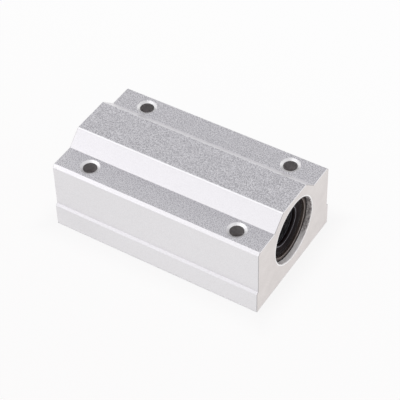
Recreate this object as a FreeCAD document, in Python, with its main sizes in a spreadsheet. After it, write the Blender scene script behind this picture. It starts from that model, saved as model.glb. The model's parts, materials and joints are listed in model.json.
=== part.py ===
import FreeCAD, Part
import itertools
import math
import os

import Sketcher

# A twin linear bearing block for a 12 mm shaft: an extruded aluminium housing with
# two recirculating ball bushings end to end in one bore, held in by two circlips.
#
# Frame, in millimetres: +X along the shaft, +Y across the block, +Z up, with the
# origin in the middle of the base. The pieces of a bushing are drawn about the
# bushing's own centre, with its axis along X, and then placed in the housing.

doc = FreeCAD.newDocument("linear_bearing_block")
Vector = FreeCAD.Vector
Rotation = FreeCAD.Rotation

# ------------------------------------------------------------------ driving sizes
SIZES = {
    # housing section, seen along the shaft
    "block_width": 42.0,
    "block_length": 70.0,
    "block_height": 28.0,
    "shaft_height": 15.0,
    "flange_height": 23.6,
    "hump_foot_width": 22.9,
    "hump_top_width": 12.95,
    "hump_radius": 0.25,
    "band_height": 7.45,
    "ledge_rise": 0.55,
    "ledge_depth": 0.75,
    "flange_bevel": 0.88,
    "base_bevel": 0.3,
    "end_chamfer": 0.15,
    # housing bore: two bushing seats, a land between them, a circlip groove at each end
    "seat_diameter": 21.0,
    "land_diameter": 18.6,
    "mouth_chamfer": 0.2,
    "groove_diameter": 22.2,
    "groove_width": 1.1,
    "groove_inset": 1.65,
    # bolt holes, drilled through the flanges and tapped from the base
    "bolt_spacing_along": 50.0,
    "bolt_spacing_across": 30.5,
    "bolt_hole_diameter": 4.3,
    "flange_sink_diameter": 6.1,
    "base_sink_diameter": 5.3,
    "sink_angle": 130.0,
    "thread_depth": 12.0,
    # circlips
    "circlip_thickness": 1.0,
    "circlip_diameter": 22.1,
    "circlip_opening": 18.7,
    "circlip_shift": 0.2,
    "circlip_gap": 1.9,
    "lug_diameter": 4.0,
    "lug_hole_diameter": 1.6,
    "lug_height": 8.45,
    "lug_spread": 2.5,
    # bushing sleeve
    "shaft_diameter": 12.0,
    "bushing_length": 30.0,
    "sleeve_chamfer": 0.4,
    "ring_groove_spread": 23.0,
    "ring_groove_width": 1.3,
    "ring_groove_diameter": 20.0,
    "end_bore": 18.6,
    "end_depth": 2.8,
    "flute_angle": 70.0,
    # balls and the cage that guides them
    "ball_diameter": 2.38,
    "track_clearance": 0.06,
    "return_lift": 0.75,
    "row_spacing": 3.8,
    "row_length": 16.2,
    "channel_step": 0.66,
    "slot_width": 2.04,
    "cage_bore": 12.6,
    "cage_diameter": 16.5,
    "collar_diameter": 18.1,
    "collar_width": 0.8,
    "cage_end_gap": 0.1,
    # end rings and seals
    "end_ring_bore": 13.2,
    "end_ring_thickness": 0.8,
    "seal_inset": 0.15,
    "seal_rim": 0.6,
    "seal_dish": 0.35,
    "lip_foot_diameter": 13.8,
    "lip_crown_diameter": 12.6,
    "lip_crown_inset": 0.25,
    "lip_diameter": 12.06,
    "lip_inset": 0.6,
    "lip_length": 0.5,
}
CIRCUITS = 4
BALLS_PER_CIRCUIT = 17
CIRCLIP_TURN = 40.0

sheet = doc.addObject("Spreadsheet::Sheet", "sizes")
for row, (word, value) in enumerate(SIZES.items(), start=1):
    sheet.set(f"A{row}", word)
    sheet.set(f"B{row}", str(value))
    sheet.setAlias(f"B{row}", word)
doc.recompute()


def size(word):
    return float(sheet.get(word))


def bound(expression):
    """An expression over the driving sizes, with each one written as a cell of the sheet."""
    return " ".join(f"sizes.{word}" if word in SIZES else word for word in expression.split())


# ----------------------------------------------------------------- drawing helpers
def new_body(name):
    body = doc.addObject("PartDesign::Body", name)
    body.Label = name
    return body


def own_plane(body, role):
    return next(item for item in body.Origin.OriginFeatures if item.Role == role)


def new_sketch(body, name, role, lift=None):
    """A sketch on one of the body's own planes, moved by {offset axis: expression}."""
    sketch = body.newObject("Sketcher::SketchObject", name)
    sketch.AttachmentSupport = [(own_plane(body, role), "")]
    sketch.MapMode = "FlatFace"
    for axis, expression in (lift or {}).items():
        sketch.setExpression(f"AttachmentOffset.Base.{axis}", bound(expression))
    return sketch


def constrain(sketch, name, constraint, expression):
    number = sketch.addConstraint(constraint)
    sketch.renameConstraint(number, name)
    sketch.setExpression(f"Constraints.{name}", bound(expression))


def place_point(sketch, name, geometry, which, across, up):
    """Tie one point to two expressions, measured from the sketch's origin."""
    now = sketch.getPoint(geometry, which)
    aside = Sketcher.Constraint("DistanceX", -1, 1, geometry, which, now.x)
    above = Sketcher.Constraint("DistanceY", -1, 1, geometry, which, now.y)
    constrain(sketch, f"{name}_across", aside, across)
    constrain(sketch, f"{name}_up", above, up)


def draw_outline(sketch, corners):
    """A closed outline of straight lines through corners given as pairs of expressions.

    The lines start as a rough ring and the constraints pull each corner into its place.
    """
    turn = 2 * math.pi / len(corners)
    ring = [Vector(math.cos(turn * i), math.sin(turn * i), 0) for i in range(len(corners))]
    for start, end in zip(ring, ring[1:] + ring[:1]):
        sketch.addGeometry(Part.LineSegment(start, end), False)
    for i, (across, up) in enumerate(corners):
        sketch.addConstraint(Sketcher.Constraint("Coincident", i - 1 if i else len(corners) - 1, 2, i, 1))
        place_point(sketch, f"corner_{i}", i, 1, across, up)


def draw_circle(sketch, name, across, up, radius):
    number = sketch.addGeometry(Part.Circle(Vector(0, 0, 0), Vector(0, 0, 1), 1.0), False)
    place_point(sketch, name, number, 3, across, up)
    constrain(sketch, f"{name}_radius", Sketcher.Constraint("Radius", number, 1.0), radius)


def closed_by_mirror(half):
    """A profile's right half, completed by its mirror image about the second axis."""
    return half + [(f"-1 * ( {across} )", up) for across, up in reversed(half)]


def finish_feature(body, feature, removes):
    """Recompute, and stop if the feature did not add or remove material as it should."""
    doc.recompute()
    body.Tip = feature
    doc.recompute()
    base = feature.BaseFeature
    before = base.Shape.Volume if base else 0.0
    change = feature.Shape.Volume - before
    if (change >= 0) == removes:
        raise RuntimeError(f"{feature.Label} changed the volume by {change:.3f}")
    return feature


def pad(body, name, sketch, length, symmetric=False):
    feature = body.newObject("PartDesign::Pad", name)
    feature.Profile = sketch
    feature.SideType = "Symmetric" if symmetric else "One side"
    feature.setExpression("Length", bound(length))
    return finish_feature(body, feature, removes=False)


def pocket_through(body, name, sketch):
    feature = body.newObject("PartDesign::Pocket", name)
    feature.Profile = sketch
    feature.SideType = "Symmetric"
    feature.Type = "ThroughAll"
    return finish_feature(body, feature, removes=True)


def revolve(body, name, corners, lift=None, kind="PartDesign::Revolution", angle="360"):
    """Turn a half section, given as (along the axis, radius) pairs, about the sketch's first axis."""
    sketch = new_sketch(body, f"{name}_section", "XZ_Plane", lift)
    draw_outline(sketch, corners)
    feature = body.newObject(kind, name)
    feature.Profile = sketch
    feature.ReferenceAxis = (sketch, ["H_Axis"])
    feature.Midplane = True
    feature.setExpression("Angle", bound(angle))
    return finish_feature(body, feature, removes=kind == "PartDesign::Groove")


def polar_pattern(body, name, feature, removes):
    pattern = body.newObject("PartDesign::PolarPattern", name)
    pattern.Originals = [feature]
    pattern.Axis = (own_plane(body, "X_Axis"), [""])
    pattern.Angle = 360.0
    pattern.Occurrences = CIRCUITS
    return finish_feature(body, pattern, removes)


def edges_where(feature, test):
    return [f"Edge{i}" for i, edge in enumerate(feature.Shape.Edges, start=1) if test(edge)]


# ------------------------------------------------------------------------- housing
# Where things lie along the shaft, as expressions: the outer end of each bushing
# stands against its circlip, the inner end against the land in the middle.
HALF_LENGTH = "block_length / 2"
BUSHING_OUTER_END = "( block_length / 2 - groove_inset - groove_width )"
BUSHING_INNER_END = f"( {BUSHING_OUTER_END} - bushing_length )"
BUSHING_CENTRE = f"( {BUSHING_OUTER_END} - bushing_length / 2 )"


def housing_section():
    """The extruded section: a band at the foot, a ledge, bevelled flanges and the hump."""
    right = [
        ("block_width / 2 - base_bevel", "0"),
        ("block_width / 2", "base_bevel"),
        ("block_width / 2", "band_height"),
        ("block_width / 2 - ledge_depth", "band_height + ledge_rise"),
        ("block_width / 2 - ledge_depth", "flange_height - flange_bevel"),
        ("block_width / 2 - ledge_depth - flange_bevel", "flange_height"),
        ("hump_foot_width / 2", "flange_height"),
        ("hump_top_width / 2", "block_height"),
    ]
    return closed_by_mirror(right)


def housing_bore():
    """Half the bore's section, from the middle land out to the chamfered mouth."""
    half = [
        (BUSHING_INNER_END, "land_diameter / 2"),
        (BUSHING_INNER_END, "seat_diameter / 2"),
        (BUSHING_OUTER_END, "seat_diameter / 2"),
        (BUSHING_OUTER_END, "groove_diameter / 2"),
        (f"{HALF_LENGTH} - groove_inset", "groove_diameter / 2"),
        (f"{HALF_LENGTH} - groove_inset", "seat_diameter / 2"),
        (f"{HALF_LENGTH} - mouth_chamfer", "seat_diameter / 2"),
        (HALF_LENGTH, "seat_diameter / 2 + mouth_chamfer"),
        (HALF_LENGTH, "0"),
    ]
    return closed_by_mirror(half)


def drill_pattern(body, name, height, sink, upwards):
    """Four holes at the corners of a rectangle, countersunk where they start."""
    sketch = new_sketch(body, f"{name}_centres", "XY_Plane", {"z": height})
    for number, (along, across) in enumerate(itertools.product((1, -1), repeat=2)):
        draw_circle(
            sketch,
            f"hole_{number}",
            f"{along} * bolt_spacing_along / 2",
            f"{across} * bolt_spacing_across / 2",
            "bolt_hole_diameter / 2",
        )
    doc.recompute()
    hole = body.newObject("PartDesign::Hole", name)
    hole.Profile = sketch
    doc.recompute()
    hole.Reversed = upwards
    hole.setExpression("Diameter", bound("bolt_hole_diameter"))
    hole.HoleCutType = "Countersink"
    hole.HoleCutCustomValues = True
    hole.setExpression("HoleCutDiameter", bound(sink))
    hole.setExpression("HoleCutCountersinkAngle", bound("sink_angle"))
    hole.DrillPoint = "Flat"
    if upwards:
        hole.DepthType = "Dimension"
        hole.setExpression("Depth", bound("thread_depth"))
    else:
        hole.DepthType = "ThroughAll"
    return finish_feature(body, hole, removes=True)


def make_housing():
    body = new_body("housing")
    section = new_sketch(body, "housing_section", "YZ_Plane")
    draw_outline(section, housing_section())
    extrusion = pad(body, "extrusion", section, "block_length", symmetric=True)

    hump_edges = edges_where(extrusion, on_hump_corner)
    rounding = body.newObject("PartDesign::Fillet", "hump_rounding")
    rounding.Base = (extrusion, hump_edges)
    rounding.setExpression("Radius", bound("hump_radius"))
    doc.recompute()
    body.Tip = rounding

    revolve(body, "bore", housing_bore(), {"y": "shaft_height"}, kind="PartDesign::Groove")
    drill_pattern(body, "bolt_holes", "flange_height", "flange_sink_diameter", upwards=False)
    drilled = drill_pattern(body, "tapped_ends", "0", "base_sink_diameter", upwards=True)

    deburr = body.newObject("PartDesign::Chamfer", "end_deburr")
    deburr.Base = (drilled, edges_where(drilled, on_end_outline))
    deburr.setExpression("Size", bound("end_chamfer"))
    finish_feature(body, deburr, removes=True)
    return body


def on_hump_corner(edge):
    """Whether an edge runs the length of the hump, along its foot or its top."""
    box = edge.BoundBox
    runs_along = box.XLength > 1.0 and box.YLength + box.ZLength < 0.001
    on_hump = abs(box.YMin) < size("hump_foot_width") / 2 + 0.001
    return runs_along and on_hump and box.ZMin > size("flange_height") - 0.001


def on_end_outline(edge):
    """Whether an edge is on the outline of an end face, away from the bore's mouth."""
    box = edge.BoundBox
    at_end = abs(abs(box.Center.x) - size("block_length") / 2) < 0.001
    across = math.hypot(box.Center.y, box.Center.z - size("shaft_height"))
    return at_end and box.XLength < 0.001 and across > 1.0


# ------------------------------------------------------------------------ circlips
def make_circlip(side, sign):
    """An internal circlip: an eccentric ring, open at the top, with an eyed lug at each end."""
    body = new_body(f"{side}_circlip")
    ring = new_sketch(body, "ring", "YZ_Plane")
    draw_circle(ring, "outside", "0", "0", "circlip_diameter / 2")
    draw_circle(ring, "inside", "0", "circlip_shift", "circlip_opening / 2")
    pad(body, "ring_blank", ring, "circlip_thickness")

    lugs = new_sketch(body, "lugs", "YZ_Plane")
    eyes = new_sketch(body, "eyes", "YZ_Plane")
    for hand in (1, -1):
        name = "lug_near" if hand > 0 else "lug_far"
        draw_circle(lugs, name, f"{hand} * lug_spread", "lug_height", "lug_diameter / 2")
        draw_circle(eyes, name, f"{hand} * lug_spread", "lug_height", "lug_hole_diameter / 2")
    pad(body, "lug_blanks", lugs, "circlip_thickness")
    pocket_through(body, "lug_eyes", eyes)

    gap = new_sketch(body, "gap", "YZ_Plane")
    draw_outline(gap, [
        ("-1 * circlip_gap / 2", "lug_height - lug_diameter"),
        ("circlip_gap / 2", "lug_height - lug_diameter"),
        ("circlip_gap / 2", "circlip_diameter"),
        ("-1 * circlip_gap / 2", "circlip_diameter"),
    ])
    pocket_through(body, "ring_gap", gap)
    place(body, sign, BUSHING_OUTER_END, CIRCLIP_TURN)
    return body


def place(body, sign, distance, turn=0.0, flipped=False):
    """Stand a piece on the shaft's axis, at a distance from the middle towards one side.

    A piece for the far side is turned end for end, and so is the inner one of a pair.
    """
    about_shaft = Rotation(Vector(1, 0, 0), turn)
    end_for_end = Rotation(Vector(0, 0, 1), 0 if (sign > 0) != flipped else 180)
    body.Placement = FreeCAD.Placement(Vector(0, 0, 0), end_for_end * about_shaft)
    body.setExpression("Placement.Base.x", bound(f"{sign} * {distance}"))
    body.setExpression("Placement.Base.z", bound("shaft_height"))


# ---------------------------------------------------------------- bushing: sleeve
def make_sleeve(side, sign):
    """The hardened sleeve: ring grooves outside, four raceway lands between flutes inside."""
    half = [
        ("ring_groove_spread / 2 - ring_groove_width", "seat_diameter / 2"),
        ("ring_groove_spread / 2 - ring_groove_width", "ring_groove_diameter / 2"),
        ("ring_groove_spread / 2", "ring_groove_diameter / 2"),
        ("ring_groove_spread / 2", "seat_diameter / 2"),
        ("bushing_length / 2 - sleeve_chamfer", "seat_diameter / 2"),
        ("bushing_length / 2", "seat_diameter / 2 - sleeve_chamfer"),
        ("bushing_length / 2", "end_bore / 2"),
        ("row_length / 2", "end_bore / 2"),
        ("row_length / 2", "shaft_diameter / 2 + ball_diameter"),
    ]
    body = new_body(f"{side}_sleeve")
    revolve(body, "sleeve_blank", closed_by_mirror(half))
    flute = revolve(
        body,
        "flute",
        [
            ("-1 * row_length / 2", "shaft_diameter / 2"),
            ("row_length / 2", "shaft_diameter / 2"),
            ("row_length / 2", "end_bore / 2"),
            ("-1 * row_length / 2", "end_bore / 2"),
        ],
        kind="PartDesign::Groove",
        angle="flute_angle",
    )
    polar_pattern(body, "flutes", flute, removes=True)
    place(body, sign, BUSHING_CENTRE)
    return body


# -------------------------------------------------------- bushing: cage and balls
# A ball circuit is a loaded row under a raceway land and a return row further out,
# side by side, joined by a half turn at each end. Both rows lie in one slanted plane.
LOADED_ANGLE = math.radians(45.0)
loaded_radius = (size("shaft_diameter") + size("ball_diameter")) / 2
return_radius = loaded_radius + size("return_lift")
turn_radius = size("row_spacing") / 2
squares = loaded_radius**2 + return_radius**2 - size("row_spacing") ** 2
rows_apart = math.acos(squares / (2 * loaded_radius * return_radius))


def across_shaft(radius, angle):
    """A point in the plane across the shaft, its angle measured from +Z towards +Y."""
    return Vector(0, radius * math.sin(angle), radius * math.cos(angle))


loaded_centre = across_shaft(loaded_radius, LOADED_ANGLE)
return_centre = across_shaft(return_radius, LOADED_ANGLE + rows_apart)
circuit_centre = (loaded_centre + return_centre) / 2
sideways = (return_centre - loaded_centre).normalize()


def circuit_point(travel):
    """The place of a ball's centre after rolling this far round the first circuit."""
    row, turn = size("row_length"), math.pi * turn_radius
    travel = travel % (2 * (row + turn))
    if travel < row:
        along, aside = travel - row / 2, -turn_radius
    elif travel < row + turn:
        angle = (travel - row) / turn_radius
        along, aside = row / 2 + turn_radius * math.sin(angle), -turn_radius * math.cos(angle)
    elif travel < 2 * row + turn:
        along, aside = row / 2 - (travel - row - turn), turn_radius
    else:
        angle = (travel - 2 * row - turn) / turn_radius
        along, aside = -row / 2 - turn_radius * math.sin(angle), turn_radius * math.cos(angle)
    return circuit_centre + sideways * aside + Vector(along, 0, 0)


def draw_racetrack(sketch, name, radius):
    """Two straight runs and two half turns about the ends of the rows, at this radius."""
    half_row, start, up = size("row_length") / 2, turn_radius, Vector(0, 0, 1)
    right = Part.ArcOfCircle(Part.Circle(Vector(half_row, 0, 0), up, start), -math.pi / 2, math.pi / 2)
    left = Part.ArcOfCircle(Part.Circle(Vector(-half_row, 0, 0), up, start), math.pi / 2, 3 * math.pi / 2)
    near = Part.LineSegment(Vector(-half_row, -start, 0), Vector(half_row, -start, 0))
    far = Part.LineSegment(Vector(half_row, start, 0), Vector(-half_row, start, 0))
    first = sketch.addGeometry([near, right, far, left], False)[0]
    for count in range(4):
        one, next_one = first + count, first + (count + 1) % 4
        sketch.addConstraint(Sketcher.Constraint("Tangent", one, 2, next_one, 1))
    sketch.addConstraint(Sketcher.Constraint("Equal", first + 1, first + 3))
    place_point(sketch, f"{name}_right", first + 1, 3, "row_length / 2", "0")
    place_point(sketch, f"{name}_left", first + 3, 3, "-1 * row_length / 2", "0")
    constrain(sketch, f"{name}_radius", Sketcher.Constraint("Radius", first + 1, start), radius)
    if sketch.solve() != 0:
        raise RuntimeError(f"{name} racetrack does not solve")


def cut_channel(body, name, half_width, depth):
    """A racetrack channel for the balls, open outwards, cut to a depth below their centres."""
    sketch = new_sketch(body, f"{name}_plan", "XY_Plane")
    slant = math.degrees(math.atan2(sideways.z, sideways.y))
    sketch.AttachmentOffset = FreeCAD.Placement(circuit_centre, Rotation(Vector(1, 0, 0), slant))
    draw_racetrack(sketch, "outside", f"row_spacing / 2 + {half_width}")
    draw_racetrack(sketch, "inside", f"row_spacing / 2 - {half_width}")
    doc.recompute()
    channel = body.newObject("PartDesign::Pocket", name)
    channel.Profile = sketch
    channel.SideType = "Two sides"
    channel.setExpression("Length", bound(depth))
    channel.setExpression("Length2", bound("collar_diameter / 2"))
    finish_feature(body, channel, removes=True)
    return polar_pattern(body, f"{name}s", channel, removes=True)


def make_cage(side, sign):
    """The moulded cage: a collared tube with four stepped racetrack channels.

    The upper step takes the whole ball. The lower one is narrower than the ball, so where
    it breaks into the cage's bore the loaded row shows through and still can't fall out.
    """
    half = [
        ("bushing_length / 2 - end_depth - cage_end_gap", "cage_bore / 2"),
        ("bushing_length / 2 - end_depth - cage_end_gap", "collar_diameter / 2"),
        ("bushing_length / 2 - end_depth - cage_end_gap - collar_width", "collar_diameter / 2"),
        ("bushing_length / 2 - end_depth - cage_end_gap - collar_width", "cage_diameter / 2"),
    ]
    body = new_body(f"{side}_cage")
    revolve(body, "cage_blank", closed_by_mirror(half))
    cut_channel(body, "ball_channel", "( ball_diameter / 2 + track_clearance )", "channel_step")
    cut_channel(body, "ball_slot", "slot_width / 2", "ball_diameter / 2 + track_clearance")
    place(body, sign, BUSHING_CENTRE)
    return body


def faceted_ball(radius):
    """A twenty-sided ball whose corners lie on the true ball, which keeps 136 of them light.

    The corners come from three golden rectangles that cross at right angles.
    """
    golden = (1 + math.sqrt(5)) / 2
    corners = []
    for short, sign in itertools.product((1, -1), repeat=2):
        long = sign * golden
        corners += [Vector(0, short, long), Vector(short, long, 0), Vector(long, 0, short)]
    edge = 2.0
    scale = radius / corners[0].Length
    faces = []
    for triple in itertools.combinations(corners, 3):
        if all(abs(a.distanceToPoint(b) - edge) < 0.001 for a, b in itertools.combinations(triple, 2)):
            loop = [corner * scale for corner in triple]
            faces.append(Part.Face(Part.makePolygon(loop + loop[:1])))
    return Part.makeSolid(Part.makeShell(faces))


def make_balls(side, sign, number):
    """One circuit's balls, evenly spaced round the racetrack."""
    ball = faceted_ball(size("ball_diameter") / 2)
    lap = 2 * (size("row_length") + math.pi * turn_radius)
    balls = []
    for count in range(BALLS_PER_CIRCUIT):
        copy = ball.copy()
        copy.translate(circuit_point(lap * count / BALLS_PER_CIRCUIT))
        balls.append(copy)
    part = doc.addObject("Part::Feature", f"{side}_balls_{number + 1}")
    part.Label = f"{side}_balls_{number + 1}"
    part.Shape = Part.makeCompound(balls)
    place(part, sign, BUSHING_CENTRE, turn=number * 360.0 / CIRCUITS)
    return part


# ------------------------------------------------------- bushing: end rings, seals
def make_end_ring(side, sign, end, flipped):
    """The flat steel ring that keeps the cage in the sleeve."""
    body = new_body(f"{side}_{end}_ring")
    inner = "bushing_length / 2 - end_depth"
    revolve(body, "ring", [
        (inner, "end_ring_bore / 2"),
        (f"{inner} + end_ring_thickness", "end_ring_bore / 2"),
        (f"{inner} + end_ring_thickness", "end_bore / 2"),
        (inner, "end_bore / 2"),
    ])
    place(body, sign, BUSHING_CENTRE, flipped=flipped)
    return body


def make_seal(side, sign, end, flipped):
    """The rubber seal: a rim, a dished face and a lip that runs on the shaft."""
    body = new_body(f"{side}_{end}_seal")
    back = "bushing_length / 2 - end_depth + end_ring_thickness"
    front = "bushing_length / 2 - seal_inset"
    revolve(body, "seal", [
        (back, "end_bore / 2"),
        (front, "end_bore / 2"),
        (front, "end_bore / 2 - seal_rim"),
        (f"{front} - seal_dish", "lip_foot_diameter / 2"),
        ("bushing_length / 2 - lip_crown_inset", "lip_crown_diameter / 2"),
        ("bushing_length / 2 - lip_inset", "lip_diameter / 2"),
        ("bushing_length / 2 - lip_inset - lip_length", "lip_diameter / 2"),
        (back, "end_ring_bore / 2"),
    ])
    place(body, sign, BUSHING_CENTRE, flipped=flipped)
    return body


# ---------------------------------------------------------------------- assembly
SIDES = (("right", 1), ("left", -1))
ENDS = (("outer", False), ("inner", True))

parts = [make_housing()]
for side, sign in SIDES:
    parts.append(make_circlip(side, sign))
    parts.append(make_sleeve(side, sign))
    parts.append(make_cage(side, sign))
    for number in range(CIRCUITS):
        parts.append(make_balls(side, sign, number))
    for end, flipped in ENDS:
        parts.append(make_end_ring(side, sign, end, flipped))
        parts.append(make_seal(side, sign, end, flipped))
doc.recompute()

for item in doc.Objects:
    if "Invalid" in item.State or "Error" in item.State:
        raise RuntimeError(f"{item.Label} failed: {item.State}")
for part in parts:
    if part.Shape.isNull() or not part.Shape.isValid():
        raise RuntimeError(f"{part.Label} has no valid shape")

os.makedirs("parts", exist_ok=True)
for part in parts:
    part.Shape.exportStep(f"parts/{part.Label}.step")
    print(f"{part.Label:22s} {len(part.Shape.Solids):3d} solids {part.Shape.Volume:10.2f} mm3")
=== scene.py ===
# %% [markdown]
# # A twin linear bearing block
#
# This block slides along a round 12 mm shaft and carries a table on its flat flanges.
# It is an aluminium extrusion with one long bore. Two ball bushings sit end to end in
# the bore, and a circlip holds them in at each end. Every shape with a real size comes
# from the packed model. The cells below add finishes, a few finer pieces, light and a
# camera. The model could also be rebuilt here, but then two sets of sizes would have
# to agree, so the packed solids are loaded and kept.

# %% Load the packed model
import itertools
import json
import math

import bmesh
import bpy
from mathutils import Matrix, Vector


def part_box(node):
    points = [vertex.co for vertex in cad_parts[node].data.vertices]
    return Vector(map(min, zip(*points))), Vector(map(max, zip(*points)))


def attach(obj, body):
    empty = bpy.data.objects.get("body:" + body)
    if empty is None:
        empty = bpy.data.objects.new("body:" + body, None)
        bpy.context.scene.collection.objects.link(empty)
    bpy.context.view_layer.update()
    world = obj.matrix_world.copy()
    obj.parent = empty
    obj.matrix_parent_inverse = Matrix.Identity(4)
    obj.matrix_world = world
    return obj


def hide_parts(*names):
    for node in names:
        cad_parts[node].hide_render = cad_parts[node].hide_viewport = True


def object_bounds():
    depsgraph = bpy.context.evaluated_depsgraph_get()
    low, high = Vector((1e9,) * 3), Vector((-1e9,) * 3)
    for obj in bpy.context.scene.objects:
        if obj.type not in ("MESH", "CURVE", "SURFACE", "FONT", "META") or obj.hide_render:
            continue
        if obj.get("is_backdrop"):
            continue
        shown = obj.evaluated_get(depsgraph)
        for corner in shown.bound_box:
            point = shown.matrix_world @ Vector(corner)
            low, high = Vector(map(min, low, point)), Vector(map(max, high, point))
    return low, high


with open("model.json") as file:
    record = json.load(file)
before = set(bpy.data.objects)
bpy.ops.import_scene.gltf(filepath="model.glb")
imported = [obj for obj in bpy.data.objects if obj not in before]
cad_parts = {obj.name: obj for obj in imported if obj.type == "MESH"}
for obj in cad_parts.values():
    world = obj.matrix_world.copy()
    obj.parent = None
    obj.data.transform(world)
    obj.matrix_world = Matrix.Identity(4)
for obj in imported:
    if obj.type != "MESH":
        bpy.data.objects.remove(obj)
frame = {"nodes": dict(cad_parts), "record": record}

MM = 0.001
CAD_BOX = [list(corner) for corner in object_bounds()]


def in_mm(corners):
    """Corners in metres as rounded millimetres, for printing."""
    return [[round(value / MM, 2) for value in corner] for corner in corners]


print("solids:", len(frame["nodes"]), "box in mm:", in_mm(CAD_BOX))

# %% [markdown]
# ## Where things are
#
# The frame has +X along the shaft, +Z up and its origin in the middle of the base.
# The finishes need to know where the end faces, the bore and the bolt holes are. The
# numbers could all be typed in, but the packed record and the boxes of the solids hold
# most of them, so those are read and stay right if the block changes. The few that
# they don't hold, such as the width of a broken edge, are named here.

# %% Read the block's own measures
mounts = {mount["name"]: mount for mount in frame["record"]["mounts"]}
housing = frame["nodes"]["housing"]
HOUSING_LOW, HOUSING_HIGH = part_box("housing")
HALF_LENGTH = HOUSING_HIGH.x
SHAFT_HEIGHT = mounts["shaft_bore"]["pos_m"][2]
FLANGE_HEIGHT = mounts["flange_holes"]["pos_m"][2]
hole_sizes = mounts["flange_holes"]["dims"]
HOLE_ALONG = hole_sizes["spacing_x_mm"] * MM / 2
HOLE_ACROSS = hole_sizes["spacing_y_mm"] * MM / 2
HOLE_RADIUS = hole_sizes["hole_r_mm"] * MM
SINK_RADIUS, BASE_SINK_RADIUS = 3.05 * MM, 2.65 * MM  # countersinks at flange and base
BORE_REACH, MOUTH_RADIUS = 11.2 * MM, 11.0 * MM  # past all that is bored; the mouth's rim
END_CHAMFER = 0.145 * MM  # the broken edge round each end face
HUMP_EDGE = 6.35 * MM  # where the hump's flat top turns into its shoulders
HAIR = 0.005 * MM  # a margin too small to see
SIDES = {"right": 1, "left": -1}
print("in mm: half length, shaft height:", in_mm([(HALF_LENGTH, SHAFT_HEIGHT)]))

# %% [markdown]
# ## Shader maths as plain Python
#
# A procedural finish is a net of small nodes, and most of them only add, multiply or
# compare. They could be placed and linked one by one, which hides what is worked out.
# Here a wire stands for one output socket, arithmetic on wires adds the Math nodes,
# and one method adds every other kind of node.


# %% The wire
class Wire:
    """One output socket of a shader tree, on which Python's operators add Math nodes.

    A wire without a socket only knows its tree, and starts a net of nodes.
    """

    def __init__(self, tree, socket=None):
        self.tree = tree
        self.socket = socket

    def node(self, kind, settings=None, inputs=None, output=0):
        """Any node: its type, its settings, what goes into its sockets, and the output."""
        made = self.tree.nodes.new(kind)
        for name, value in (settings or {}).items():
            setattr(made, name, value)
        self.feed(made, inputs or {})
        return Wire(self.tree, made.outputs[output] if made.outputs else None)

    def feed(self, made, inputs):
        """Link wires into a node's sockets, and write plain values straight into them."""
        for name, value in inputs.items():
            if isinstance(value, Wire):
                self.tree.links.new(value.socket, made.inputs[name])
            else:
                made.inputs[name].default_value = value

    def math(self, operation, *values):
        """A Math node on wires and plain numbers."""
        return self.node("ShaderNodeMath", {"operation": operation}, dict(enumerate(values)))

    def __add__(self, other):
        return self.math("ADD", self, other)

    __radd__ = __add__

    def __mul__(self, other):
        return self.math("MULTIPLY", self, other)

    __rmul__ = __mul__

    def __sub__(self, other):
        return self.math("SUBTRACT", self, other)

    def __rsub__(self, other):
        return self.math("SUBTRACT", other, self)

    def __pow__(self, other):
        return self.math("POWER", self, other)

    def __abs__(self):
        return self.math("ABSOLUTE", self)

    def __lt__(self, other):
        return self.math("LESS_THAN", self, other)

    def __gt__(self, other):
        return self.math("GREATER_THAN", self, other)

    def between(self, low, high):
        """0 at low and under it, 1 at high and over it, and a smooth rise between."""
        settings = {"interpolation_type": "SMOOTHSTEP"}
        return self.node("ShaderNodeMapRange", settings, {0: self, 1: low, 2: high})

    def tint(self, low, high):
        """The colour low where this wire is 0, and high where it is 1."""
        inputs = {0: self, 6: colour(low), 7: colour(high)}
        return self.node("ShaderNodeMix", {"data_type": "RGBA"}, inputs, 2)

    def axes(self):
        """The three numbers of a vector."""
        split = self.node("ShaderNodeSeparateXYZ", inputs={0: self}).socket.node
        return [Wire(self.tree, output) for output in split.outputs]

    def vector(self, *numbers):
        """A vector of three numbers, each a wire or a plain one."""
        return self.node("ShaderNodeCombineXYZ", inputs=dict(enumerate(numbers)))

    def noise(self, scale, detail=2.0, roughness=0.5):
        """Cloudy noise from 0 to 1 at this place, with its grain in millimetres."""
        inputs = {"Vector": self, "Scale": 1 / (scale * MM)}
        inputs.update({"Detail": detail, "Roughness": roughness})
        return self.node("ShaderNodeTexNoise", inputs=inputs)

    def bump(self, height):
        """A normal for a relief whose height is this wire times so many millimetres."""
        inputs = {"Height": self, "Distance": height * MM, "Strength": 1.0}
        return self.node("ShaderNodeBump", inputs=inputs)


def colour(value):
    """A grey or a red, green, blue triple, as the four numbers of a colour socket."""
    if isinstance(value, Wire):
        return value
    triple = value if isinstance(value, tuple) else (value,) * 3
    return (*triple, 1.0)


print("operators:", [name for name in vars(Wire) if name.startswith("__")])


# %% [markdown]
# ## Starting a finish
#
# Each finish is one Principled shader. What is the same all over, such as how metallic
# a piece is, is a number on the shader's own socket. What changes over the surface is
# worked out from the place on the piece, in the block's own frame, so the finish sticks
# to the piece from every side. Image textures would need unwrapped pieces and files,
# and procedural ones need neither.


# %% Start a finish
def new_finish(name):
    """A material with one Principled shader, and the place on the piece in metres."""
    material = bpy.data.materials.new(name)
    material.use_nodes = True
    tree = material.node_tree
    tree.nodes.clear()
    start = Wire(tree)
    shader = start.node("ShaderNodeBsdfPrincipled")
    start.node("ShaderNodeOutputMaterial", inputs={"Surface": shader})
    place = start.node("ShaderNodeTexCoord", output="Object")
    return material, shader, place


def dress(obj, material):
    """Give a piece its finish."""
    obj.data.materials.clear()
    obj.data.materials.append(material)


print("finishes are started by new_finish and worn by dress")
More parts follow.
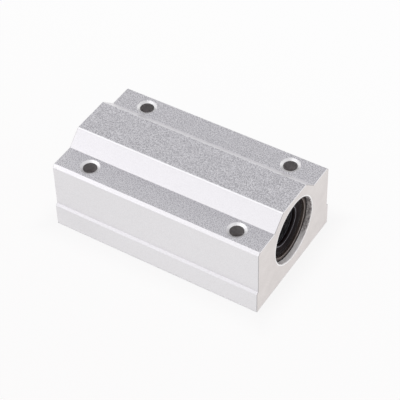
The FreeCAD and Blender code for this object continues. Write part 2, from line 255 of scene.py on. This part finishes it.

# %% [markdown]
# ## Which tool touched the housing last
#
# The extrusion is sand-blasted and then anodised clear, which gives a pale grey skin
# with a fine grain that glints. The ends are cut and faced after that, the bore and the
# holes are machined, and the sharp edges are broken, so those places are barer and
# smoother metal. Separate pieces with a finish each would be simple, but the housing is
# one solid. Instead masks work out, from the place on it, which tool touched it last.
# A mask is 1 where its name holds and 0 elsewhere. The hump's crest is laid in with the
# deburred places as a paler line, partly worn edge and partly painted highlight.


# %% Masks for the machined places
def from_shaft(place):
    """How far a place is from the shaft's axis, in metres."""
    _, y, z = place.axes()
    return (y * y + (z - SHAFT_HEIGHT) * (z - SHAFT_HEIGHT)) ** 0.5


def facing(place):
    """The three numbers of the surface's normal, in the block's own frame."""
    return place.node("ShaderNodeTexCoord", output="Normal").axes()


def housing_masks(place):
    """Masks for the ends, bore, holes and broken edges, a painted highlight on the hump's
    crest, painted shade on chamfers that face sideways, and the slope of the sinks' dish.
    """
    x, y, z = place.axes()
    along, across, upper = abs(x), abs(y), z > SHAFT_HEIGHT
    out = from_shaft(place)
    on_end = along > HALF_LENGTH - HAIR
    bore = (out < BORE_REACH) * (1 - on_end)
    rim = (out < MOUTH_RADIUS) * on_end
    chamfer = (along > HALF_LENGTH - END_CHAMFER) * (1 - on_end) * (1 - bore)
    # Painted shade: chamfers that face partly sideways are painted a darker grey.
    sideways = abs(facing(place)[1]).between(0.15, 0.35)
    # Painted highlight: a paler line along the hump's top edges, partly worn edge and partly
    # the highlight of their rounding.
    crest = (z > HOUSING_HIGH.z - 0.3 * MM) * (across > HUMP_EDGE) * (1 - on_end - chamfer)
    from_hole = ((along - HOLE_ALONG) ** 2 + (across - HOLE_ACROSS) ** 2) ** 0.5
    hole = from_hole < HOLE_RADIUS + 4 * HAIR
    sink_radius = upper * (SINK_RADIUS - BASE_SINK_RADIUS) + BASE_SINK_RADIUS
    sink = (from_hole < sink_radius) * (1 - hole)
    return {
        "end": on_end * (1 - rim),
        "bore": bore,
        "hole": hole,
        "dish": from_hole.math("MINIMUM", from_hole, SINK_RADIUS) * upper,
        "deburred_and_highlight": sink + chamfer + rim + crest * 0.6,
        "sideways": chamfer * sideways,
    }


anodised, shader, place = new_finish("anodised_aluminium")
masks = housing_masks(place)
print("masks:", ", ".join(masks))

# %% [markdown]
# ## Blasted, anodised aluminium
#
# Blasting leaves small dents of a few tenths of a millimetre. Each dent tips the metal a
# little, so some grains catch the light and their neighbours don't. Displaced geometry
# would need millions of faces. A fine noise does it with a bump and a change of colour,
# strongest on the level faces, where rare grains are also painted white as painted glints.
# A much larger noise adds the faint clouds that anodising leaves. The front flange is
# painted a touch paler, as painted light that makes up for the light the hump keeps off it.


# %% The blasted skin
FINE_SKIN = (0.77, 0.76, 0.775), (0.835, 0.825, 0.84)
COARSE_SKIN = (0.55, 0.545, 0.565), (0.98, 0.975, 0.995)


def blasted_skin(place):
    """The colour, roughness, relief and painted glints of the blasted skin."""
    _, y, z = place.axes()
    grain = place.noise(0.31, detail=1.0)
    # Painted highlight: rare grains are painted white and made less metallic, as painted
    # glints; they also get a bump.
    painted_glint = place.noise(0.40, detail=0.0).between(0.70, 0.76)
    cloud = place.noise(9.0)
    level = facing(place)[2].between(0.88, 0.97)
    # Painted light: the front flange's skin is made paler, to make up for the light the hump
    # keeps off it.
    front_flange_painted_light = (y < -HUMP_EDGE) * (z < FLANGE_HEIGHT + 0.5 * MM)
    fine = (grain.between(0.3, 0.7) * 0.7 + cloud * 0.3).tint(*FINE_SKIN)
    coarse = (grain.between(0.32, 0.68) + front_flange_painted_light * 0.15).tint(*COARSE_SKIN)
    painted_top_glint = painted_glint * level
    return {
        "colour": level.tint(fine, painted_glint.tint(coarse, 1.0)),
        "roughness": cloud * 0.06 + 0.42,
        "relief": grain * (level * 0.6 + 0.4) + painted_top_glint * 0.5,
        "painted_glint": painted_top_glint,
    }


skin = blasted_skin(place)
print("skin:", ", ".join(skin))

# %% [markdown]
# ## Faced ends and the bored wall
#
# A large cutter faces the ends and leaves faint arcs, and a boring tool leaves streaks
# in the bore. The lower wall of the bore is painted much paler and less metallic, as
# painted light. An anisotropic shader would stretch the reflections, but marks this fine
# only change the tone from place to place, so a noise is drawn out along the tool's path
# instead.


# %% Machined places
CUTTER_ACROSS, CUTTER_HEIGHT = -34 * MM, -9 * MM
FACED_METAL = (0.715, 0.675, 0.66), (0.795, 0.755, 0.74)
STREAK_DARK, STREAK_BRIGHT = (0.24, 0.22, 0.22), (0.90, 0.87, 0.85)
LOWER_WALL_PAINTED_LIGHT_DARK, LOWER_WALL_PAINTED_LIGHT_BRIGHT = (0.92, 0.88, 0.86), 1.0


def faced_metal(place):
    """The colour and relief of the faced ends: faint arcs left by a large cutter."""
    x, y, z = place.axes()
    reach = ((y - CUTTER_ACROSS) ** 2 + (z - CUTTER_HEIGHT) ** 2) ** 0.5
    arcs = place.vector(reach * 9.0, x, 0.0).noise(1.6, detail=3.0, roughness=0.6)
    tone = arcs * 0.5 + place.noise(4.0) * 0.5
    return tone.between(0.25, 0.75).tint(*FACED_METAL), arcs


def angle_round_shaft(place):
    """The angle of a place around the shaft's axis, in radians."""
    _, y, z = place.axes()
    return y.math("ARCTAN2", z - SHAFT_HEIGHT, y)


def bored_wall(place):
    """The colour, relief and painted light on the lower wall of the bore, with the boring
    tool's streaks.
    """
    x, _, z = place.axes()
    path = place.vector(x * 2.0, angle_round_shaft(place) * (4.0 * MM), 0.0)
    streaks = path.noise(0.9, detail=4.0, roughness=0.7)
    chatter = place.noise(0.7, roughness=0.7)
    tone = (streaks * 0.6 + chatter * 0.4).between(0.37, 0.63)
    # Painted light: the lower wall of the bore is made near white.
    painted_light = (SHAFT_HEIGHT - z).between(6.0 * MM, 9.8 * MM)
    dark = painted_light.tint(STREAK_DARK, LOWER_WALL_PAINTED_LIGHT_DARK)
    bright = painted_light.tint(STREAK_BRIGHT, LOWER_WALL_PAINTED_LIGHT_BRIGHT)
    return tone.tint(dark, bright), streaks, painted_light


faced, faced_relief = faced_metal(place)
bored, bored_relief, painted_light = bored_wall(place)
print("nodes so far:", len(anodised.node_tree.nodes))

# %% [markdown]
# ## Putting the housing's finish together
#
# The masks lay one finish over another, as layers. Mixing whole shaders would need six
# of them, so only the colours, the roughness, the metal's share and the relief are
# mixed, and one shader shows the result. The sinks lean more in the relief than in the
# solid, as a steeper countersink cutter's cone does.

# %% Dress the housing
RELIEF_HEIGHT = 0.06
SINK_LEAN = 0.36
HOLE_MOUTH_PAINTED_SHADE, HOLE_DEEP = (0.28, 0.268, 0.268), (0.80, 0.77, 0.77)
SIDE_CHAMFER_PAINTED_SHADE = (0.44, 0.43, 0.43)
ends, bore, holes, deburred_and_highlight = (masks[name] for name in ("end", "bore", "hole", "deburred_and_highlight"))
depth = (FLANGE_HEIGHT - place.axes()[2]).between(0.0, 4.5 * MM)
look = ends.tint(skin["colour"], faced)
look = bore.tint(look, bored)
# Painted shade: the bolt holes' walls are painted dark at the mouth, turning paler over 4.5 mm
# of depth.
look = holes.tint(look, depth.tint(HOLE_MOUTH_PAINTED_SHADE, HOLE_DEEP))
look = deburred_and_highlight.tint(look, 1.0)
# Painted shade on the chamfers that face sideways.
look = masks["sideways"].tint(look, SIDE_CHAMFER_PAINTED_SHADE)
plain = 1 - (ends + bore + holes + deburred_and_highlight)
roughness = plain * skin["roughness"] + (1 - plain) * 0.40
# The painted light on the lower bore wall also makes it less metallic.
dull = holes * 0.6 + bore * (painted_light * 0.4 + 0.6) + deburred_and_highlight * 0.35
# Painted glints are made less metallic here, so that they show white.
metallic = 1 - dull - plain * skin["painted_glint"] * 0.7
relief = plain * skin["relief"] + ends * faced_relief * 0.12 + bore * bored_relief * 0.5
relief = relief + masks["dish"] * (SINK_LEAN / (RELIEF_HEIGHT * MM))
varying = {"Base Color": look, "Metallic": metallic, "Roughness": roughness}
shader.feed(shader.socket.node, {**varying, "Normal": relief.bump(RELIEF_HEIGHT)})
dress(housing, anodised)
print("housing wears", anodised.name, "with", len(anodised.node_tree.nodes), "nodes")

# %% [markdown]
# ## Steel, resin and rubber
#
# The bushing's pieces are a ground steel sleeve, polished balls, a moulded resin cage,
# stamped steel rings and moulded rubber seals, and a phosphated spring-steel circlip
# holds them in. Each could have a net of nodes of its own. They differ mostly in
# numbers, so one function makes them all from a dark and a light tone, the size and
# stretch of the marks that their making leaves, and perhaps a ring of another colour:
# the circlips are darker towards their groove, as painted shade, and each seal has a
# pale line at its lip, as a painted highlight.

# %% Finishes of the inner pieces
RING_BLUR = 0.06
GROOVE_SHADE = (10.05, 12.0, (0.01, 0.008, 0.008))
# Painted highlight: a pale ring at each seal's lip.
LIP_HIGHLIGHT = (6.33, 6.43, (0.34, 0.34, 0.38))


def marked_finish(
    name, dark, light, metallic, roughness, grain,
    stretch=(1, 1, 1), depth=0.004, gloss=0.5, ring=None,
):
    """A finish with marks of one grain size in mm, drawn out along, around and outwards.

    A ring is (inner radius, outer radius, colour), with its radii in mm; here it carries
    painted shade and painted highlights.
    """
    material, shader, place = new_finish(name)
    along, out = place.axes()[0], from_shaft(place)
    around = angle_round_shaft(place) * (9 * MM)
    drawn = place.vector(along * stretch[0], around * stretch[1], out * stretch[2])
    marks = drawn.noise(grain, detail=3.0, roughness=0.6)
    film = place.noise(2.5)
    look = (marks * 0.6 + film * 0.4).between(0.3, 0.7).tint(dark, light)
    if ring:
        inner, outer, ring_colour = ring
        inside = out.between((inner - RING_BLUR) * MM, inner * MM)
        outside = out.between(outer * MM, (outer + RING_BLUR) * MM)
        look = (inside * (1 - outside)).tint(look, ring_colour)
    shader.feed(shader.socket.node, {"Metallic": metallic, "Specular IOR Level": gloss})
    varying = {"Base Color": look, "Roughness": film * 0.16 + (roughness - 0.08)}
    shader.feed(shader.socket.node, {**varying, "Normal": marks.bump(depth)})
    return material


spring_steel = marked_finish(
    "spring_steel", (0.07, 0.05, 0.045), (0.17, 0.135, 0.12), 0.7, 0.42, 0.25,
    stretch=(1, 1, 2.5), depth=0.012, ring=GROOVE_SHADE,
)
# Partly worn bare steel and partly painted highlight, for the circlips' broken edges.
rubbed_steel_and_highlight = marked_finish(
    "rubbed_steel_and_highlight", (0.34, 0.30, 0.28), (0.52, 0.47, 0.44), 0.7, 0.36, 0.6, ring=GROOVE_SHADE
)
bearing_steel = marked_finish(
    "bearing_steel", (0.52, 0.52, 0.53), (0.66, 0.66, 0.67), 1.0, 0.24, 0.18,
    stretch=(3, 0.2, 3), depth=0.003,
)
ball_steel = marked_finish(
    "ball_steel", (0.72, 0.72, 0.74), (0.82, 0.82, 0.83), 1.0, 0.12, 1.2, depth=0.001
)
ring_steel = marked_finish(
    "ring_steel", (0.42, 0.42, 0.43), (0.58, 0.58, 0.59), 1.0, 0.34, 0.3,
    stretch=(1, 1, 2), depth=0.006,
)
cage_resin = marked_finish(
    "cage_resin", (0.030, 0.030, 0.032), (0.052, 0.052, 0.055), 0.0, 0.46, 0.35, depth=0.006
)
seal_rubber = marked_finish(
    "seal_rubber", (0.006, 0.004, 0.005), (0.016, 0.010, 0.011), 0.0, 0.44, 0.45,
    stretch=(1, 0.25, 1.5), depth=0.01, gloss=0.16, ring=LIP_HIGHLIGHT,
)
FINISH_OF = {
    "sleeve": (bearing_steel, "bearing_steel"),
    "cage": (cage_resin, "cage_resin"),
    "ring": (ring_steel, "ring_steel"),
    "seal": (seal_rubber, "seal_rubber"),
    "circlip": (spring_steel, "spring_steel"),
    "balls": (ball_steel, "ball_steel"),
}
for name, node in frame["nodes"].items():
    for word, (material, slot_name) in FINISH_OF.items():
        if word in name:
            dress(node, material)
print("dressed:", sorted(name for name in frame["nodes"] if name != "housing")[:4], "and so on")

# %% [markdown]
# ## Smooth balls
#
# The packed balls are twenty-sided, which is light and right for collision, but a
# polished ball shows every facet. A sphere could be placed by working out the circuit
# again. It is simpler to ask the packed solid: each ball is a separate lump of its mesh,
# and the lump's middle is the ball's centre.


# %% Find the lumps and put a ball at each
WELD = 0.001 * MM  # corners that lie closer than this are one corner
BALL_RADIUS = 1.19 * MM


def lump_centres(node):
    """The middle of each separate lump of a node's mesh."""
    mesh = bmesh.new()
    mesh.from_mesh(node.data)
    bmesh.ops.remove_doubles(mesh, verts=mesh.verts, dist=WELD)
    mesh.verts.ensure_lookup_table()
    seen, centres = set(), []
    for first in mesh.verts:
        if first.index in seen:
            continue
        lump, to_visit = [first], [first]
        seen.add(first.index)
        while to_visit:
            for edge in to_visit.pop().link_edges:
                for corner in edge.verts:
                    if corner.index not in seen:
                        seen.add(corner.index)
                        lump.append(corner)
                        to_visit.append(corner)
        centres.append(sum((corner.co for corner in lump), Vector()) / len(lump))
    mesh.free()
    return centres


def add_piece(name, mesh, material, slot_name, *stands_for, smooth_under=35.0):
    """A new piece from a bmesh, smooth but for its sharp edges, riding on the block."""
    data = bpy.data.meshes.new(name)
    mesh.to_mesh(data)
    mesh.free()
    data.shade_smooth()
    data.set_sharp_from_angle(angle=math.radians(smooth_under))
    piece = bpy.data.objects.new(name, data)
    bpy.context.scene.collection.objects.link(piece)
    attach(piece, "root")
    dress(piece, material)
    if stands_for:
        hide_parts(*stands_for)
    return piece


for side in SIDES:
    for number in range(1, 5):
        node_name = f"{side}_balls_{number}"
        balls = bmesh.new()
        for centre in lump_centres(frame["nodes"][node_name]):
            bmesh.ops.create_icosphere(
                balls, subdivisions=3, radius=BALL_RADIUS, matrix=Matrix.Translation(centre)
            )
        count = len(balls.verts)
        add_piece(f"{node_name}_polished", balls, ball_steel, "ball_steel", node_name)
    print(side, "circuits done, corners in the last one:", count)

# %% [markdown]
# ## Seals with a rounded lip
#
# A seal is a rubber washer with a stiff rim, a dished face and a thin lip that wipes the
# shaft. The packed one has the right size but hard edges, and rubber never has those.
# The same section is turned here with its corners eased by a bevel, so that each edge
# shows the thin line of light that a moulded edge shows.


# %% Turn a section round the shaft
SHARP_EDGE = math.radians(28)


def turned(section, face, inward, steps=144):
    """A ring swept by a closed section of (depth, radius) pairs in mm, from a face inwards."""
    mesh = bmesh.new()
    rings = []
    for step in range(steps):
        angle = 2 * math.pi * step / steps
        ring = []
        for depth, radius in section:
            across, up = radius * MM * math.cos(angle), radius * MM * math.sin(angle)
            ring.append(mesh.verts.new((face + inward * depth * MM, across, SHAFT_HEIGHT + up)))
        rings.append(ring)
    for ring, following in zip(rings, rings[1:] + rings[:1]):
        for i in range(len(section)):
            j = (i + 1) % len(section)
            mesh.faces.new((ring[i], ring[j], following[j], following[i]))
    bmesh.ops.recalc_face_normals(mesh, faces=mesh.faces)
    return mesh


def ease_edges(piece, width, segments=2, painted_light=None):
    """Round a piece's sharp edges over a width in millimetres, perhaps in another finish."""
    bevel = piece.modifiers.new("eased_edges", "BEVEL")
    bevel.width = width * MM
    bevel.segments = segments
    bevel.limit_method = "ANGLE"
    bevel.angle_limit = SHARP_EDGE
    if painted_light:
        piece.data.materials.append(painted_light)
        bevel.material = 1


LIP_RADIUS = mounts["shaft_bore"]["dims"]["r_mm"]
SEAL_SECTION = [
    (1.85, 9.3), (0.0, 9.3), (0.0, 8.7), (0.28, 8.45), (0.35, 7.1),
    (0.22, 6.75), (0.1, 6.42), (0.12, 6.27), (0.42, LIP_RADIUS + 0.02),
    (0.5, LIP_RADIUS), (0.9, LIP_RADIUS), (1.85, 6.6),
]
for side, sign in SIDES.items():
    for end in ("outer", "inner"):
        low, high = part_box(f"{side}_{end}_seal")
        faces_out = sign if end == "outer" else -sign
        face = high.x if faces_out > 0 else low.x
        seal = turned(SEAL_SECTION, face, -faces_out)
        name = f"{side}_{end}_seal"
        piece = add_piece(f"{name}_moulded", seal, seal_rubber, "seal_rubber", name)
        ease_edges(piece, width=0.06, segments=3)
    print(side, "seals face", round(face / MM, 2), "thick", round((high.x - low.x) / MM, 2))

# %% [markdown]
# ## Circlips with broken edges
#
# A circlip is punched from spring-steel strip and tumbled, so its edges are a little
# round. It could be turned like the seals, but it has lugs and a gap. Its packed solid
# is copied instead, its flat facets are joined again, and a bevel breaks the edges. The
# bevel's faces wear a paler steel, partly worn bare and partly a painted highlight.

# %% Copy the circlips and break their edges
NEARLY_FLAT = math.radians(1)
for side in SIDES:
    name = f"{side}_circlip"
    clip = bmesh.new()
    clip.from_mesh(frame["nodes"][name].data)
    bmesh.ops.remove_doubles(clip, verts=clip.verts, dist=WELD)
    bmesh.ops.dissolve_limit(clip, angle_limit=NEARLY_FLAT, verts=clip.verts, edges=clip.edges)
    sides_left = len(clip.faces)
    piece = add_piece(f"{name}_tumbled", clip, spring_steel, "spring_steel", name)
    # The broken edges get the paler steel: worn metal and a painted highlight.
    ease_edges(piece, width=0.07, painted_light=rubbed_steel_and_highlight)
    print(side, "circlip faces:", sides_left)

# %% [markdown]
# ## Threads in the base
#
# From below, each bolt hole is tapped for a larger screw. The packed model leaves the
# thread out, because a modelled helix is heavy and no tool needs it. Here a thin ridge
# winds up the wall of each hole. Cutting a groove would change the housing's solid, and
# a ridge of the same pitch gives the same look.


# %% Wind a ridge up each hole
THREAD_START, THREAD_END = 0.6, 11.7


def thread_ridge(centre_x, centre_y, start, end, pitch=0.8, crest=0.13, steps=40):
    """A three-sided ridge that winds round a hole, fading out at its ends, sizes in mm."""
    mesh = bmesh.new()
    turns = (end - start) / pitch
    flank, wall = 0.3 * pitch, HOLE_RADIUS / MM
    rows = []
    for step in range(int(turns * steps) + 1):
        share = step / (turns * steps)
        fade = min(1.0, 12 * share, 12 * (1 - share))
        angle = 2 * math.pi * step / steps
        row = []
        profile = (-flank, wall + 0.01), (0.0, wall - crest * fade), (flank, wall + 0.01)
        for rise, radius in profile:
            height = (start + pitch * step / steps + rise) * MM
            across, along = radius * MM * math.sin(angle), radius * MM * math.cos(angle)
            row.append(mesh.verts.new((centre_x + along, centre_y + across, height)))
        rows.append(row)
    for row, following in zip(rows, rows[1:]):
        for i, j in ((0, 1), (1, 2), (2, 0)):
            mesh.faces.new((row[i], row[j], following[j], following[i]))
    mesh.faces.new(rows[0])
    mesh.faces.new(reversed(rows[-1]))
    bmesh.ops.recalc_face_normals(mesh, faces=mesh.faces)
    return mesh


for number, (along, across) in enumerate(itertools.product((1, -1), repeat=2), start=1):
    centre_x, centre_y = along * HOLE_ALONG, across * HOLE_ACROSS
    ridge = thread_ridge(centre_x, centre_y, THREAD_START, THREAD_END)
    add_piece(f"thread_{number}", ridge, anodised, "anodised_aluminium", smooth_under=60.0)
print("threads:", number)

# %% [markdown]
# ## The floor
#
# The block lies on a plain white table. A lit white floor renders grey where the light
# thins out, and more light would burn out the block. So the floor's own material is
# mostly white where the camera, or a reflection in the metal, sees it. The rest is a
# plain diffuse floor, with a larger share near the foot, which keeps the block's shadow.
# Under the block nothing is white, so the bolt holes stay dark. The white is a touch
# darker and warmer towards the front, as painted shade on the floor.

# %% Lay the floor
FLOOR_SIZE = 3.0
WHITE_AT_FOOT, WHITE_BEYOND = 0.83, 0.95
floor_finish = bpy.data.materials.new("floor_white")
floor_finish.use_nodes = True
tree = floor_finish.node_tree
tree.nodes.clear()
start = Wire(tree)
seen = start.node("ShaderNodeLightPath", output="Is Camera Ray")
mirrored = start.node("ShaderNodeLightPath", output="Is Glossy Ray")
through = start.node("ShaderNodeLightPath", output="Is Transmission Ray")
looks = seen + mirrored + through
looked_at = looks.math("MINIMUM", looks, 1.0)
ground = start.node("ShaderNodeTexCoord", output="Object")
drift = ground.noise(180.0, detail=1.0)
painted = start.node("ShaderNodeBsdfDiffuse", inputs={"Color": drift.tint(0.86, 0.88)})
# Painted shade: the white is made a touch darker and warmer towards the front.
nearness = ground.axes()[1].between(0.15, -0.2)
paper_with_painted_shade = nearness.tint(1.0, (0.975, 0.965, 0.965))
white = start.node("ShaderNodeEmission", inputs={"Color": paper_with_painted_shade, "Strength": 1.0})
past_end = abs(ground.axes()[0]) - HALF_LENGTH
past_side = abs(ground.axes()[1]) - HOUSING_HIGH.y
from_foot = past_end.math("MAXIMUM", past_end, past_side)
beyond = from_foot.between(-2.0 * MM, 9.0 * MM)
whiteness = beyond * (WHITE_BEYOND - WHITE_AT_FOOT) + WHITE_AT_FOOT
white_share = looked_at * (from_foot > 0.0) * whiteness
shown = start.node("ShaderNodeMixShader", inputs={0: white_share, 1: painted, 2: white})
start.node("ShaderNodeOutputMaterial", inputs={"Surface": shown})

bpy.ops.mesh.primitive_plane_add(size=FLOOR_SIZE, location=(0, 0, HOUSING_LOW.z))
floor = bpy.context.object
floor.name = "floor"
floor.data.materials.append(floor_finish)
floor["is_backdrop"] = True
print("floor at", floor.location.z)

# %% [markdown]
# ## Soft studio light
#
# Metal shows what surrounds it, so the light is laid out as what each face should
# mirror: a large soft box in front and above for the sloping face, the white floor for
# the upright ones, and a room that is bright low down and dimmer overhead for the top.
# A weak cool lamp and a weak warm one tint the two ends. Small bright lamps would give
# hard glints that a light tent never gives.


# %% Hang the lamps
def softbox(name, direction, distance, size, power, tone):
    """A square area lamp that looks at the block from a direction, in metres and watts."""
    lamp = bpy.data.lights.new(name, "AREA")
    lamp.shape = "SQUARE"
    lamp.size = size
    lamp.energy = power
    lamp.color = tone
    holder = bpy.data.objects.new(name, lamp)
    bpy.context.scene.collection.objects.link(holder)
    towards = Vector(direction).normalized()
    holder.location = Vector((0, 0, SHAFT_HEIGHT)) + towards * distance
    holder.rotation_euler = (-towards).to_track_quat("-Z", "Y").to_euler()
    return holder


WHITE, COOL, WARM = (1.0, 1.0, 1.0), (0.92, 0.89, 1.0), (1.0, 0.96, 0.93)
softbox("soft_front", (-0.28, -0.67, 0.68), distance=1.2, size=1.3, power=3.35, tone=WHITE)
softbox("soft_left", (-1.0, -0.75, 0.12), distance=0.22, size=0.14, power=0.055, tone=COOL)
softbox("soft_right", (1.0, -0.25, 0.3), distance=0.8, size=0.8, power=0.5, tone=WARM)

BRIGHT_WALLS, DIM_CEILING = (1.0, 0.99, 1.0), (0.50, 0.495, 0.515)
room = bpy.data.worlds.new("room")
bpy.context.scene.world = room
room.use_nodes = True
room.node_tree.nodes.clear()
air = Wire(room.node_tree)
height = air.node("ShaderNodeTexCoord", output="Generated").axes()[2]
around = height.between(0.22, 0.66).tint(BRIGHT_WALLS, DIM_CEILING)
shine = air.node("ShaderNodeBackground", inputs={"Color": around, "Strength": 1.06})
air.node("ShaderNodeOutputWorld", inputs={"Surface": shine})
bpy.context.scene.view_settings.view_transform = "Standard"

# %% [markdown]
# ## The camera
#
# The block is seen from the right, in front and above, with a long lens, so its far end
# is hardly smaller than its near end. The camera could be aimed at a target with a
# constraint. Here its place follows from two angles, a distance, a small roll and a
# small shift, which is exact and easy to change.

# %% Place the camera
AZIMUTH, ELEVATION, ROLL = map(math.radians, (32.974, 45.199, -1.663))
LENS, SENSOR = 137.54, 36.0
DISTANCE, SHIFT_RIGHT, SHIFT_UP = 463.126 * MM, -2.403 * MM, -6.687 * MM
back = Vector((
    math.sin(AZIMUTH) * math.cos(ELEVATION),
    -math.cos(AZIMUTH) * math.cos(ELEVATION),
    math.sin(ELEVATION),
))
level_right = (-back).cross(Vector((0, 0, 1))).normalized()
level_up = back.cross(level_right)
right = level_right * math.cos(ROLL) + level_up * math.sin(ROLL)
up = level_up * math.cos(ROLL) - level_right * math.sin(ROLL)
camera_data = bpy.data.cameras.new("camera")
camera_data.sensor_width = SENSOR
camera_data.lens = LENS
camera_data.clip_start, camera_data.clip_end = 0.01, 20.0
camera = bpy.data.objects.new("camera", camera_data)
bpy.context.scene.collection.objects.link(camera)
turn = Matrix((right, up, back)).transposed().to_4x4()
place_at = Matrix.Translation(back * DISTANCE - right * SHIFT_RIGHT - up * SHIFT_UP)
camera.matrix_world = place_at @ turn
bpy.context.scene.camera = camera
print("camera at", [round(v, 3) for v in camera.location])

# %% [markdown]
# ## Measure the shown box
#
# The finer pieces are meant to stay inside the box of the solids. That box was kept at the
# start, and the box of everything shown is measured and printed now.

# %% Print the shown box
SHOWN_BOX = [list(corner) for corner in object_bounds()]
print("shown box in mm:", in_mm(SHOWN_BOX))
